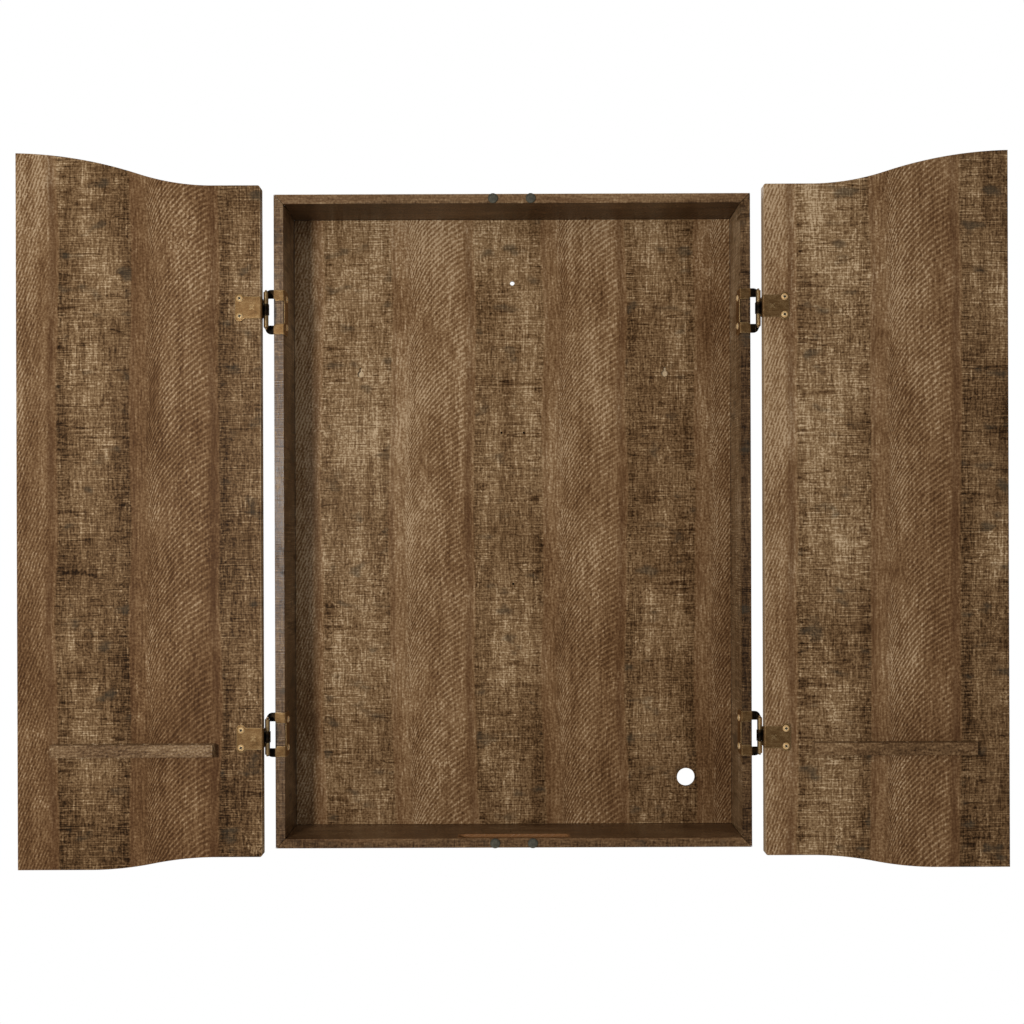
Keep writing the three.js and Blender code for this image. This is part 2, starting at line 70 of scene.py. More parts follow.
class Value:
    """A number that varies over a surface. It can be used in ordinary arithmetic."""

    def __init__(self, graph, socket):
        self.graph = graph
        self.socket = socket

    def __add__(self, other):
        return self.graph.math("ADD", self, other)

    def __sub__(self, other):
        return self.graph.math("SUBTRACT", self, other)

    def __rsub__(self, other):
        return self.graph.math("SUBTRACT", other, self)

    def __mul__(self, other):
        return self.graph.math("MULTIPLY", self, other)

    def __truediv__(self, other):
        return self.graph.math("DIVIDE", self, other)

    __radd__ = __add__
    __rmul__ = __mul__

    def power(self, exponent):
        return self.graph.math("POWER", self, exponent)

    def root(self):
        return self.graph.math("SQRT", self)

    def fraction(self):
        return self.graph.math("FRACT", self)

    def size(self):
        return self.graph.math("ABSOLUTE", self)

    def sine(self):
        return self.graph.math("SINE", self)

    def wave(self):
        """A wave from 0 to 1 that repeats whenever this grows by 1."""
        return (self * FULL_TURN).sine() * 0.5 + 0.5

    def at_least(self, other):
        return self.graph.math("MAXIMUM", self, other)

    def at_most(self, other):
        return self.graph.math("MINIMUM", self, other)

    def step(self, low, high):
        """0 below low and 1 above high, with a smooth rise between. It falls where high is the lower."""
        if low > high:
            return 1 - self.step(high, low)
        values = {"Value": self, "From Min": low, "From Max": high}
        made = self.graph.node("MapRange", values, interpolation_type="SMOOTHSTEP")
        return Value(self.graph, made.outputs["Result"])

    def band(self, low, high, soft):
        """1 between low and high, fading out over soft on each side."""
        return self.step(low - soft, low + soft) * self.step(high + soft, high - soft)


class Graph:
    """One material's nodes, made with short calls."""

    def __init__(self, name, material=None):
        self.material = material or bpy.data.materials.new(name)
        self.material.use_nodes = True
        self.tree = self.material.node_tree
        self.shader = self.tree.nodes["Principled BSDF"]
        coordinates = self.tree.nodes.new("ShaderNodeTexCoord")
        self.position = coordinates.outputs["Object"]
        self.normal = coordinates.outputs["Normal"]

    def put(self, socket, value):
        if isinstance(value, Value):
            value = value.socket
        if isinstance(value, bpy.types.NodeSocket):
            self.tree.links.new(value, socket)
        else:
            socket.default_value = value

    def node(self, kind, values, **settings):
        made = self.tree.nodes.new("ShaderNode" + kind)
        for key, value in settings.items():
            setattr(made, key, value)
        for key, value in values.items():
            self.put(made.inputs[key], value)
        return made

    def math(self, operation, *values):
        made = self.node("Math", dict(enumerate(values)), operation=operation)
        return Value(self, made.outputs[0])

    def along(self, direction):
        """How far a point lies along a direction."""
        values = {0: self.position, 1: direction}
        made = self.node("VectorMath", values, operation="DOT_PRODUCT")
        return Value(self, made.outputs["Value"])

    def axes(self):
        """How far a point lies along each of its object's own axes."""
        return [self.along(axis) for axis in ((1, 0, 0), (0, 1, 0), (0, 0, 1))]

    def facing(self, direction):
        """1 where the surface faces a direction of its own object, and -1 where it faces away."""
        values = {0: self.normal, 1: direction}
        made = self.node("VectorMath", values, operation="DOT_PRODUCT")
        return Value(self, made.outputs["Value"])

    def edges(self, reach):
        """1 close to an edge, falling to 0 on flat ground."""
        rounded_normal = self.node("Bevel", {"Radius": reach}, samples=4).outputs[0]
        normal = self.node("NewGeometry", {}).outputs["Normal"]
        made = self.node("VectorMath", {0: rounded_normal, 1: normal}, operation="DOT_PRODUCT")
        return Value(self, made.outputs["Value"]).step(0.995, 0.9)

    def noise(self, x, y, z=0.0, detail=2.0, rough=0.5):
        """Smooth noise about 0. A point's neighbours one unit away have other values."""
        place = self.node("CombineXYZ", {"X": x, "Y": y, "Z": z}).outputs[0]
        values = {"Vector": place, "Scale": 1.0, "Detail": detail, "Roughness": rough}
        made = self.node("TexNoise", values)
        return Value(self, made.outputs["Fac"]) - 0.5

    def grit(self, rate, detail=2.0, rough=0.5):
        """Smooth noise about 0, that changes so many times to a metre in every direction."""
        x, y, z = self.axes()
        return self.noise(x * rate, z * rate, y * rate, detail, rough)

    def ramp(self, value, stops):
        made = self.node("ValToRGB", {"Fac": value})
        elements = made.color_ramp.elements
        while len(elements) < len(stops):
            elements.new(1.0)
        for element, (place, colour) in zip(elements, stops):
            element.position = place
            element.color = paint(colour)
        return made.outputs["Color"]

    def mix(self, share, first, second):
        made = self.node("Mix", {"Factor": share}, data_type="RGBA")
        inputs = [socket for socket in made.inputs if socket.type == "RGBA"]
        for socket, colour in zip(inputs, (first, second)):
            self.put(socket, paint(colour) if isinstance(colour, tuple) else colour)
        return next(socket for socket in made.outputs if socket.type == "RGBA")

    def finish(self, colour, roughness, height, depth):
        """Sets the surface. A height of 1 stands out by the depth, in metres."""
        self.put(self.shader.inputs["Base Color"], colour)
        self.put(self.shader.inputs["Roughness"], roughness)
        bump = self.node("Bump", {"Height": height, "Distance": depth, "Strength": 1.0})
        self.put(self.shader.inputs["Normal"], bump.outputs[0])
        return self.material


def paint(colour):
    """A colour given as 0 to 255 display values, as the linear values that shaders use."""
    linear = [((c / 255 + 0.055) / 1.055) ** 2.4 if c > 10 else c / 255 / 12.92 for c in colour]
    return (*linear, 1.0)


# ---------------------------------------------------------------- printed oak

UPRIGHT = (0, 0, 1)
LEVEL = (1, 0, 0)
FORWARD = (0, -1, 0)
DEEP = (0, 1, 1)  # across a level board, and on round its front edge

STRIP = 0.203  # the printed planks repeat at this distance across the grain
SAW_RADIUS = 0.155
SAW_ORIGIN = 0.6  # the share of a strip that the saw's centre is measured from
SAW_CENTRE = 0.144  # how far to the right of that the saw's centre lay
SAW_PITCH = 0.0074  # between saw marks, along the grain
SAW_LEAN = 2.4  # slope of the straight marks left of the first strip
ROW_PITCH = 0.0029  # of the cross-hatching
COLUMN_PITCH = 0.0026
FLAME_PITCH = 0.0048  # between the wavy lines of the plain board
PRINT_DEPTH = 0.3 * MM  # of the embossing
TAPE_CALM = 0.25  # how much weaker the pattern is on an edge tape

# Where the kinds of board lie, as (start, end, softness) in shares of a strip's width.
HATCHED = (0.01, 0.46, 0.01)
HEART = (0.12, 0.34, 0.1)  # the paler middle of the cross-hatching
LEFT_COMB = (0.0, 0.07, 0.03)
RIGHT_COMB = (0.4, 0.47, 0.03)
NARROW_SEAM = (0.47, 0.49, 0.012)
PLAIN = (0.47, 0.66, 0.03)
SAWN = (0.56, 0.955, 0.03)
WIDE_SEAM = (0.955, 0.995, 0.02)

OAK = (
    (0.00, (40, 26, 14)),
    (0.25, (79, 56, 34)),
    (0.50, (115, 87, 58)),
    (0.75, (151, 122, 88)),
    (1.00, (200, 173, 138)),
)
SMUDGE = (70, 62, 49)
RED_SEAM = (82, 54, 34)
REDDISH = (128, 86, 54)  # outside the cross-hatched board


class Board:
    """Where a point lies on a printed board, and the noise that the print is drawn with.

    u is how far across the board a point lies and v is how far along it, in metres.
    """

    def __init__(self, graph, across, along, start, seed):
        self.graph = graph
        self.seed = seed
        self.u = graph.along(across) - start
        self.v = graph.along(along)
        shifted = self.u + self.noise(3, 4, 0, detail=1) * 0.02
        self.place = (shifted / STRIP).fraction()  # across a strip, from 0 to 1
        self.before = shifted.step(0.0001, -0.0001)  # 1 to the left of the first strip, or else 0
        self.grain = self.noise(430, 55, 3, detail=1, rough=0.6)
        self.dust = self.noise(340, 340, 4, detail=1, rough=0.6)

    def noise(self, across, along, layer, detail=2.0, rough=0.5):
        """Smooth noise about 0, that changes so many times to a metre across and along the board."""
        return self.graph.noise(self.u * across, self.v * along, self.seed + layer, detail, rough)

    def lines(self, across, along, layer, thinness):
        """1 along the lines where a noise crosses 0, falling to 0 beside them."""
        return (1 - self.noise(across, along, layer, detail=1).size() * thinness).at_least(0)


def hatching(board, hatched):
    """Cross-hatched board. Gives the weave of fine lines alone, and then with its marks."""
    rows = (board.v / ROW_PITCH + board.noise(14, 70, 5) * 2.4).wave()
    rows = rows * board.noise(34, 330, 17).step(-0.12, 0.14)
    columns = (board.u / COLUMN_PITCH + board.noise(70, 20, 6) * 2.4).wave()
    columns = columns * board.noise(350, 65, 18).step(-0.08, 0.14)
    patch = board.noise(18, 24, 7)
    strength = (0.85 + patch * 1.4).at_least(0.2)
    weave = (rows * 0.31 + columns * 0.12 - 0.12) * strength * hatched

    threads = board.lines(62, 2.5, 13, 45) * patch.step(-0.05, 0.1)
    dashes = board.lines(6, 90, 14, 34) * board.noise(24, 40, 15).step(0.0, 0.08)
    combs = board.lines(20, 210, 20, 14) * (board.place.band(*LEFT_COMB) + board.place.band(*RIGHT_COMB))
    marks = (threads * 0.2 - dashes * 0.32 - combs * 0.22 - 0.04) * hatched
    return weave, weave + marks + board.place.band(*HEART) * 0.05


def saw_marks(board):
    """Arcs left by a circular saw, or straight leaning marks to the left of the first strip."""
    reach = SAW_CENTRE - (board.place - SAW_ORIGIN) * STRIP
    rise = (SAW_RADIUS**2 - reach * reach).at_least(0).root()
    rise = rise * (1 - board.before) + board.u * board.before * SAW_LEAN
    wander = board.noise(18, 18, 8) * 1.5 + board.noise(70, 70, 19) * 0.7
    ridge = ((board.v - rise) / SAW_PITCH * (1 - board.before * 0.25) + wander).wave()
    broken = board.noise(220, 220, 9).step(-0.14, 0.1)
    fade = board.noise(26, 10, 10).step(-0.32, 0.02)
    strength = (0.5 + broken * 0.5) * fade * board.place.band(*SAWN) * (1.7 - board.place)
    return (ridge.power(1.8) - 0.4) * strength


def grain_marks(board):
    """Wavy lines on the plain board, and cracks all over. Gives the dark cracks alone, and then all."""
    warp = board.noise(14, 5, 12)
    flame = ((board.u / FLAME_PITCH + warp * 9) * FULL_TURN).sine() * board.place.band(*PLAIN)
    gaps = board.dust.step(-0.1, 0.05)
    cracks = (1 - (warp - 0.11).size() * 70).at_least(0) * gaps
    pale_cracks = (1 - (warp + 0.13).size() * 80).at_least(0) * gaps
    return cracks, flame * 0.045 - cracks * 0.2 + pale_cracks * 0.18


def laminate(
    name, across, along, start, seed, figure=1.0, tone=0.0, fall=(0, 0), tapes=(), gloss=0.25, rough=0.32
):
    """Printed rustic oak: strips of cross-hatched, plain and circular-sawn board.

    across and along are directions on the board. A strip starts where across reaches start. figure is
    the strength of the marks, tone lightens the whole board, and fall is how fast it darkens across to
    the right and down along the board: painted shade for light that falls off, mixed with the print's own
    uneven tone. Each of tapes is (direction, reach, lightening): an edge tape, or a face spared the
    board's painted shade, lies where a point is further along the direction than reach. On the doors'
    hinge edges and the top panel, the lightening is painted light.
    """
    g = Graph(name)
    board = Board(g, across, along, start, seed)
    hatched = board.place.band(*HATCHED)
    smudge = board.noise(26, 40, 16).step(0.08, 0.24) * hatched
    seam = board.place.band(*WIDE_SEAM) + board.place.band(*NARROW_SEAM) * 0.7
    seam = seam * (1 + board.noise(30, 12, 11) * 3).at_least(0)
    weave, hatch_marks = hatching(board, hatched)
    kerfs = saw_marks(board)
    cracks, lines = grain_marks(board)

    even = board.noise(15, 7, 1) * 0.75 + board.noise(100, 7, 2, rough=0.6) * 0.5
    even = even + board.grain * 0.75 + board.dust * 0.9
    figured = hatch_marks + kerfs * 0.52 + lines - seam * 0.06 - smudge * 0.08
    pattern = even + figured * figure
    # painted shade: fall darkens the board to the right and downwards as the light falls off, mixed with the
    # print's own tone
    shade = 0.5 + tone - board.u * fall[0] + board.v * fall[1]
    # tapes lighten edges and faces; on the doors' hinge edges and the top panel that lightening is painted
    # light
    for direction, reach, lightening in tapes:
        taped = g.along(direction).step(reach - 0.4 * MM, reach + 0.3 * MM)
        pattern = pattern * (1 - taped * TAPE_CALM)
        shade = shade + taped * lightening

    oak = g.ramp(shade + pattern, OAK)
    oak = g.mix((1 - hatched) * 0.22 * figure, oak, REDDISH)
    oak = g.mix(smudge * 0.6 * figure, oak, SMUDGE)
    oak = g.mix((seam * 0.35 * figure).at_most(0.7), oak, RED_SEAM)
    g.shader.inputs["Specular IOR Level"].default_value = gloss
    height = board.grain * 0.5 + weave * 0.8 + kerfs * 0.8 - cracks * 0.4
    return g.finish(oak, rough + board.grain * 0.15 + board.dust * 0.1, height, PRINT_DEPTH)


GROOVE_MARGINS = (6 * MM, 2 * MM, -0.4 * MM)  # past the opening's box in x, y and z
STAINED_BOARD = ((0.2, (76, 50, 29)), (0.5, (135, 93, 57)), (0.8, (140, 100, 64)))


def groove_laminate(name, **look):
    """The bottom panel's print, with stained board inside the pen groove."""
    material = laminate(name, DEEP, LEVEL, **look)
    opening = next(hole for hole in RECORD["physics"]["openings"] if hole["name"] == "pen_groove")
    g = Graph(name, material)
    x, y, z = g.axes()
    inside = 1.0
    for place, margin, low, high in zip((x, y, z), GROOVE_MARGINS, *opening["box_m"]):
        inside = place.band(low - margin, high + margin, 0.1 * MM) * inside
    fibre = g.noise(x * 900, y * 900, z * 900, detail=3)
    printed = g.shader.inputs["Base Color"].links[0].from_socket
    stained = g.ramp(0.5 + fibre, STAINED_BOARD)
    g.put(g.shader.inputs["Base Color"], g.mix(inside, printed, stained))
    return material


# ---------------------------------------------------------------- other materials

RAW_BOARD = ((0.1, (160, 130, 94)), (0.5, (214, 188, 150)), (0.9, (236, 216, 184)))
RUBBER = ((0.1, (46, 44, 37)), (0.5, (75, 72, 60)), (0.9, (108, 104, 90)))
ANTIQUE_BRASS = {
    "colours": ((0.1, (70, 50, 30)), (0.5, (156, 117, 72)), (0.95, (226, 192, 138))),
    "roughness": 0.38,
    "metal": 0.82,
}
BRIGHT_BRASS = {
    "colours": ((0.1, (176, 134, 80)), (0.5, (240, 192, 126)), (0.95, (255, 234, 190))),
    "roughness": 0.4,
    "metal": 0.35,
}
# painted shade, near black, on the hinges' legs and knuckles and inside the screws' recesses
PAINTED_SHADE = (22, 16, 9)
EDGE_WEAR_AND_HIGHLIGHT = 1.4 * MM  # how far from edges and bends the brass is lightened, as worn plating and a painted highlight

# Where the hinges get painted shade, from the middle of the pin.
LEG_REACH = 7.0 * MM  # to each side
DOOR_PLATE = -12.8 * MM  # forward of this lies the door wing's plate, which gets no painted shade
OUTER_KNUCKLE = 7.5 * MM  # up or down to the nearer end of an outer knuckle


def raw_board(name):
    """Unfinished fibreboard, speckled with short fibres."""
    g = Graph(name)
    fibre = g.grit(900, detail=3, rough=0.7)
    cloud = g.grit(60)
    colour = g.ramp(0.5 + fibre * 1.2 + cloud * 0.4, RAW_BOARD)
    return g.finish(colour, 0.85 + fibre * 0.2, fibre, 0.2 * MM)


def paint_hinge_shade_and_highlight(g, colour, highlight_colour, cloud):
    """Paints near-black shade on a hinge's legs and knuckles, and a highlight on the outer knuckles' fronts.
    """
    x, y, z = g.axes()
    # painted shade: the legs and knuckles, which stand in shade and reflect dark surroundings
    legs = x.size().step(LEG_REACH, LEG_REACH - 0.8 * MM)
    legs = legs * y.step(DOOR_PLATE - 0.4 * MM, DOOR_PLATE + 0.4 * MM)
    # painted highlight: the fronts of the outer knuckles take the brightest brass
    front = g.facing((0, 1, 0)).size().step(0.4, 0.75) * y.step(-0.5 * MM, -1.2 * MM)
    painted_highlight = front * z.size().step(OUTER_KNUCKLE - 0.4 * MM, OUTER_KNUCKLE + 0.4 * MM)
    colour = g.mix(legs * (1 - painted_highlight) * (0.94 + cloud), colour, PAINTED_SHADE)
    return g.mix(legs * painted_highlight * 0.65, colour, highlight_colour)


def brass(name, look, on_hinge=False, recess=None):
    """Brass plating: slightly mottled and brushed, and brighter near its edges and bends, partly as worn
    plating and partly as a painted highlight.

    On the hinges it has painted shade and a painted highlight in places. recess is the radius and height
    of a screw's recess, which is painted dark inside as shade.
    """
    g = Graph(name)
    x, y, z = g.axes()
    speckle = g.grit(1100, rough=0.6)
    cloud = g.grit(120, detail=3, rough=0.6)
    brushed = g.noise(x * 160, z * 1500, y * 160)
    # edges and bends are lightened: partly worn plating, partly a painted highlight
    shade = 0.5 + speckle * 0.8 + cloud * 0.6 + brushed * 0.4 + g.edges(EDGE_WEAR_AND_HIGHLIGHT) * 0.9
    colour = g.ramp(shade, look["colours"])
    if on_hinge:
        brightest = look["colours"][-1][1]
        colour = paint_hinge_shade_and_highlight(g, colour, brightest, cloud)
    if recess:
        radius, height = recess
        # painted shade inside the screw's cross recess
        recess_shade = z.step(height, height - 0.3 * MM) * (x * x + y * y).root().step(radius, radius - 0.2 * MM)
        colour = g.mix(recess_shade, colour, PAINTED_SHADE)
    g.shader.inputs["Metallic"].default_value = look["metal"]
    return g.finish(colour, look["roughness"] + speckle * 0.2 + cloud * 0.2, speckle, 0.05 * MM)


def rubber(name):
    """Dark grey moulded bumper, dulled with fine dust."""
    g = Graph(name)
    dust = g.grit(1500)
    cloud = g.grit(250)
    colour = g.ramp(0.5 + dust * 0.8 + cloud * 0.8, RUBBER)
    return g.finish(colour, 0.6 + cloud * 0.3, dust, 0.08 * MM)


# ---------------------------------------------------------------- small shapes, in millimetres

SHARP = math.radians(35)  # edges that turn by more than this are rounded
CREASE = math.radians(40)  # and those by more than this are not shaded smooth
ARC_STEP = math.radians(11)


def rounded(corners):
    """Points of a closed outline whose corners, (x, y, radius), are rounded."""
    points = []
    for i, (x, y, radius) in enumerate(corners):
        here = Vector((x, y))
        before = (Vector(corners[i - 1][:2]) - here).normalized()
        after = (Vector(corners[(i + 1) % len(corners)][:2]) - here).normalized()
        half = before.angle(after) / 2
        centre = here + (before + after).normalized() * radius / math.sin(half)
        start = here + before * radius / math.tan(half) - centre
        end = here + after * radius / math.tan(half) - centre
        turn = start.angle_signed(end)
        steps = max(2, math.ceil(abs(turn) / ARC_STEP))
        for k in range(steps + 1):
            points.append(centre + Matrix.Rotation(-turn * k / steps, 2) @ start)
    return points


def plate(outline, thickness):
    """A flat plate with its outline in X and Y and its middle at z = 0."""
    bm = bmesh.new()
    face = bm.faces.new([bm.verts.new((x, y, -thickness / 2)) for x, y in outline])
    made = bmesh.ops.extrude_face_region(bm, geom=[face])["geom"]
    lifted = [part for part in made if isinstance(part, bmesh.types.BMVert)]
    bmesh.ops.translate(bm, verts=lifted, vec=(0, 0, thickness))
    bmesh.ops.recalc_face_normals(bm, faces=bm.faces)
    return bm


def lathe(profile, sides, swell=None):
    """Turns (radius, height) points, from one end of the axis to the other, about Z.

    swell(angle, height) is added to the radius, apart from at the two ends.
    """
    bm = bmesh.new()
    rings = []
    for radius, height in profile[1:-1]:
        ring = []
        for k in range(sides):
            angle = FULL_TURN * k / sides
            r = radius + (swell(angle, height) if swell else 0)
            ring.append(bm.verts.new((r * math.cos(angle), r * math.sin(angle), height)))
        rings.append(ring)
    for upper, lower in zip(rings, rings[1:]):
        for k in range(sides):
            bm.faces.new((upper[k - 1], upper[k], lower[k], lower[k - 1]))
    for tip, ring in ((profile[0], rings[0]), (profile[-1], rings[-1])):
        point = bm.verts.new((0, 0, tip[1]))
        for k in range(sides):
            bm.faces.new((point, ring[k - 1], ring[k]))
    bmesh.ops.recalc_face_normals(bm, faces=bm.faces)
    return bm


def curve(start, middle, end, steps):
    """Points of a quadratic curve after its start."""
    points = []
    for k in range(1, steps + 1):
        t = k / steps
        blend = zip(start, middle, end)
        points.append(tuple(a * (1 - t) ** 2 + 2 * b * t * (1 - t) + c * t * t for a, b, c in blend))
    return points


def mesh_of(bm, name):
    mesh = bpy.data.meshes.new(name)
    bm.to_mesh(mesh)
    bm.free()
    return mesh


def carve(bm, tool):
    """Takes a closed tool away from a closed shape. Both are used up."""
    objects = [bpy.data.objects.new("carve", mesh_of(part, "carve")) for part in (bm, tool)]
    for item in objects:
        bpy.context.scene.collection.objects.link(item)
    body, cutter = objects
    modifier = body.modifiers.new("cut", "BOOLEAN")
    modifier.object = cutter
    modifier.solver = "EXACT"
    depsgraph = bpy.context.evaluated_depsgraph_get()
    carved = bmesh.new()
    carved.from_object(body, depsgraph)
    for item in objects:
        mesh = item.data
        bpy.data.objects.remove(item)
        bpy.data.meshes.remove(mesh)
    return carved


def soften(bm, width):
    """Rounds every sharp edge, and merges the close points that this can leave."""
    edges = [edge for edge in bm.edges if edge.calc_face_angle(0) > SHARP]
    bmesh.ops.bevel(
        bm,
        geom=edges,
        offset=width,
        segments=2,
        profile=0.5,
        affect="EDGES",
        clamp_overlap=True,
    )
    bmesh.ops.dissolve_degenerate(bm, dist=0.02, edges=bm.edges)


def smooth(mesh):
    """Shades a mesh smooth, apart from across its creases."""
    mesh.shade_smooth()
    mesh.set_sharp_from_angle(angle=CREASE)


# ---------------------------------------------------------------- placing and finishing pieces


def stand_in(node, mesh, material, place):
    """Puts a finer mesh in a CAD node's place."""
    if not mesh.materials:
        mesh.materials.append(material)
    piece = bpy.data.objects.new(f"{node}_fine", mesh)
    bpy.context.scene.collection.objects.link(piece)
    piece.matrix_world = place
    weigh_normals(piece)
    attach(piece, BODY_OF[node])
    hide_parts(node)


def weigh_normals(piece):
    modifier = piece.modifiers.new("flat faces stay flat", "WEIGHTED_NORMAL")
    modifier.keep_sharp = True


def round_edges(piece, width):
    """Rounds the sharp edges of a CAD node, without touching its own mesh."""
    weld = piece.modifiers.new("weld", "WELD")
    weld.merge_threshold = 0.01 * MM
    flatten = piece.modifiers.new("one face to a plane", "DECIMATE")
    flatten.decimate_type = "DISSOLVE"
    flatten.angle_limit = math.radians(0.6)
    bevel = piece.modifiers.new("rounded edges", "BEVEL")
    bevel.width = width
    bevel.segments = 3
    bevel.limit_method = "ANGLE"
    bevel.angle_limit = SHARP
    weigh_normals(piece)


def finish_node(node, material, edge):
    """Gives a CAD node its material and its rounded edges."""
    piece = NODES[node]
    piece.data.materials.clear()
    piece.data.materials.append(material)
    piece.data.shade_smooth()
    round_edges(piece, edge)


# ---------------------------------------------------------------- hinges


class Strip:
    """The middle line of a bent strip of sheet, drawn by straight runs and turns."""

    def __init__(self, x, y, heading):
        self.point = Vector((x, y))
        self.heading = heading
        self.length = 0.0
        self.runs = []  # (length before it, first point, heading, bend) of each
        self.cuts = []  # lengths at which a plate has to be cut to bend smoothly

    def run(self, length):
        self.runs.append((self.length, self.point.copy(), self.heading, 0.0))
        self.point += length * Vector((math.cos(self.heading), math.sin(self.heading)))
        self.length += length

    def turn(self, radius, angle, steps):
        """Turns left by the angle, or right by a negative one, at a radius."""
        self.runs.append((self.length, self.point.copy(), self.heading, math.copysign(1 / radius, angle)))
        length = radius * abs(angle)
        self.cuts += [self.length + length * k / steps for k in range(steps + 1)]
        self.point = self.at(self.length + length, 0)
        self.heading += angle
        self.length += length

    def at(self, length, height):
        """The point at a length along the strip and a height to the left of its middle line."""
        begun = [run for run in self.runs if run[0] <= max(length, 0)]
        start, point, heading, bend = begun[-1]
        along = length - start
        if bend == 0:
            direction = Vector((math.cos(heading), math.sin(heading)))
            return point + direction * along + Vector((-direction.y, direction.x)) * height
        centre = point + Vector((-math.sin(heading), math.cos(heading))) / bend
        angle = heading + along * bend
        return centre - Vector((-math.sin(angle), math.cos(angle))) * (1 / bend - height)


SHEET = 1.8  # thickness of the door wings
FRAME_SHEET = 1.6  # and of the frame wings
BEND = 1.1  # radius of a tight bend, at the middle line
LEG_BEND = 3.5  # and of the wider bend where a frame wing turns forward
EDGE = 0.5  # how far the sheet's edges are rounded
SCREW_HOLE = 2.05  # radius


def bend_plate(flat, strip):
    """Bends a flat plate, with its length along X and its width along Y, to a strip's line."""
    bmesh.ops.triangulate(flat, faces=flat.faces)
    for cut in strip.cuts:
        geometry = [*flat.verts, *flat.edges, *flat.faces]
        bmesh.ops.bisect_plane(flat, geom=geometry, plane_co=(cut, 0, 0), plane_no=(1, 0, 0))
    for vertex in flat.verts:
        length, width, height = vertex.co
        x, y = strip.at(length, height)
        vertex.co = (x, y, width)


def both_halves(corners):
    """A closed outline that is the same above and below the X axis, from the corners of its upper half."""
    return rounded([*corners, *((x, -y, radius) for x, y, radius in reversed(corners))])


def pits(places):
    """Round cutting tools for a plate. Each place is (length, width, radius, lowest z, highest z)."""
    bm = bmesh.new()
    for length, width, radius, low, high in places:
        place = Matrix.Translation((length, width, (low + high) / 2))
        bmesh.ops.create_cone(
            bm,
            cap_ends=True,
            segments=24,
            radius1=radius,
            radius2=radius,
            depth=high - low,
            matrix=place,
        )
    return bm


def frame_wing_mesh():
    """Wraps the side panel's front edge: inner plate, two arms, two legs and their rolled knuckles."""
    strip = Strip(-19.7, 38.5, -QUARTER)
    strip.run(23.2 - BEND)  # the inner plate
    strip.turn(BEND, QUARTER, 7)
    strip.run(22 - BEND - LEG_BEND)  # the arms
    strip.turn(LEG_BEND, -QUARTER, 10)
    leg = strip.length
    strip.run(15.3 - LEG_BEND)  # the legs
    strip.turn(2.3, -math.radians(292), 26)  # the knuckles
    end = strip.length
    outline = both_halves(
        [
            (0, 28.3, 6),
            (leg - 4.5, 28.3, 8),
            (leg + 1.8, 22.3, 3),
            (end, 22.3, 1.2),
            (end, 7.3, 0.5),
            (leg + 7, 7.3, 1),
            (leg + 7, 17, 2),
            (35, 17, 1),
            (34, 14.6, 1),
            (21, 14.6, 1.5),
        ]
    )
    flat = plate(outline, FRAME_SHEET)
    soften(flat, EDGE)
    holes = [(12, y, SCREW_HOLE, -SHEET, SHEET) for y in (-18, 18)]
    flat = carve(flat, pits(holes))
    bend_plate(flat, strip)
    return flat


def door_wing_mesh():
    """A plate with two lobes for the screws, a flange round the door's edge and the middle knuckle."""
    strip = Strip(35.5, -14.7, math.pi)
    strip.run(32.4 - BEND)  # the plate
    strip.turn(BEND, -QUARTER, 7)
    strip.run(14.7 - BEND)  # the flange
    strip.turn(3.1, math.radians(300), 28)  # the knuckle
    end = strip.length
    outline = both_halves(
        [
            (0, 17.2, 4.5),
            (8.2, 17.2, 4),
            (11.8, 13.8, 4),
            (33.2, 13.8, 0.8),
            (33.5, 12.25, 0.5),
            (42.6, 12.25, 1.5),
            (43, 7, 1.2),
            (end, 7, 0.6),
        ]
    )
    flat = plate(outline, SHEET)
    soften(flat, EDGE)
    face = SHEET / 2
    holes = [(6, y, SCREW_HOLE, -SHEET, SHEET) for y in (-11, 11)]
    dimple = (21, 0, 1.2, face - 0.9, face + 1)
    marks = [(x, y, 0.6, face - 0.4, face + 1) for x in (21 - 2.2, 21 + 2.2) for y in (-2.2, 2.2)]
    flat = carve(flat, pits([*holes, dimple, *marks]))
    bend_plate(flat, strip)
    return flat


def placed_mesh(bm, side, name):
    """Scales a hinge shape to metres, and mirrors it for the left side."""
    bmesh.ops.transform(bm, matrix=Matrix.Diagonal((SIDES[side] * MM, MM, MM, 1)), verts=bm.verts)
    if side == "left":
        bmesh.ops.reverse_faces(bm, faces=bm.faces)
    mesh = mesh_of(bm, name)
    smooth(mesh)
    return mesh


HEAD = {"radius": 4.2, "height": 2.0, "rim": 0.7}
RECESS = {"arm": 2.3, "blade": 0.75, "depth": 1.6}
SHANK = {"radius": 1.45, "length": 11.0, "pitch": 1.3, "thread": 0.35}
HEAD_DROP = 0.25  # how far the head's top lies under its CAD node's
THREAD_STEPS = 40


def screw_mesh():
    """A pan-head screw that looks along +Z, with a cross recess and a helical thread."""
    top, rim, head = HEAD["height"], HEAD["rim"], HEAD["radius"]
    profile = [(0, top), *curve((0.6, top), (3.5, top), (head, rim), 7)]
    profile += [(head, 0.25), (head - 0.25, 0), (SHANK["radius"] + 0.3, 0)]
    for k in range(THREAD_STEPS + 1):
        height = -SHANK["length"] * 0.8 * k / THREAD_STEPS - 0.2
        profile.append((SHANK["radius"], height))
    profile += [(0.3, -SHANK["length"] + 0.3), (0, -SHANK["length"])]

    def thread(angle, height):
        if height > -0.5:
            return 0
        return SHANK["thread"] * (0.5 + 0.5 * math.cos(FULL_TURN * height / SHANK["pitch"] - angle))

    return carve(lathe(profile, 36, thread), recess_tool())


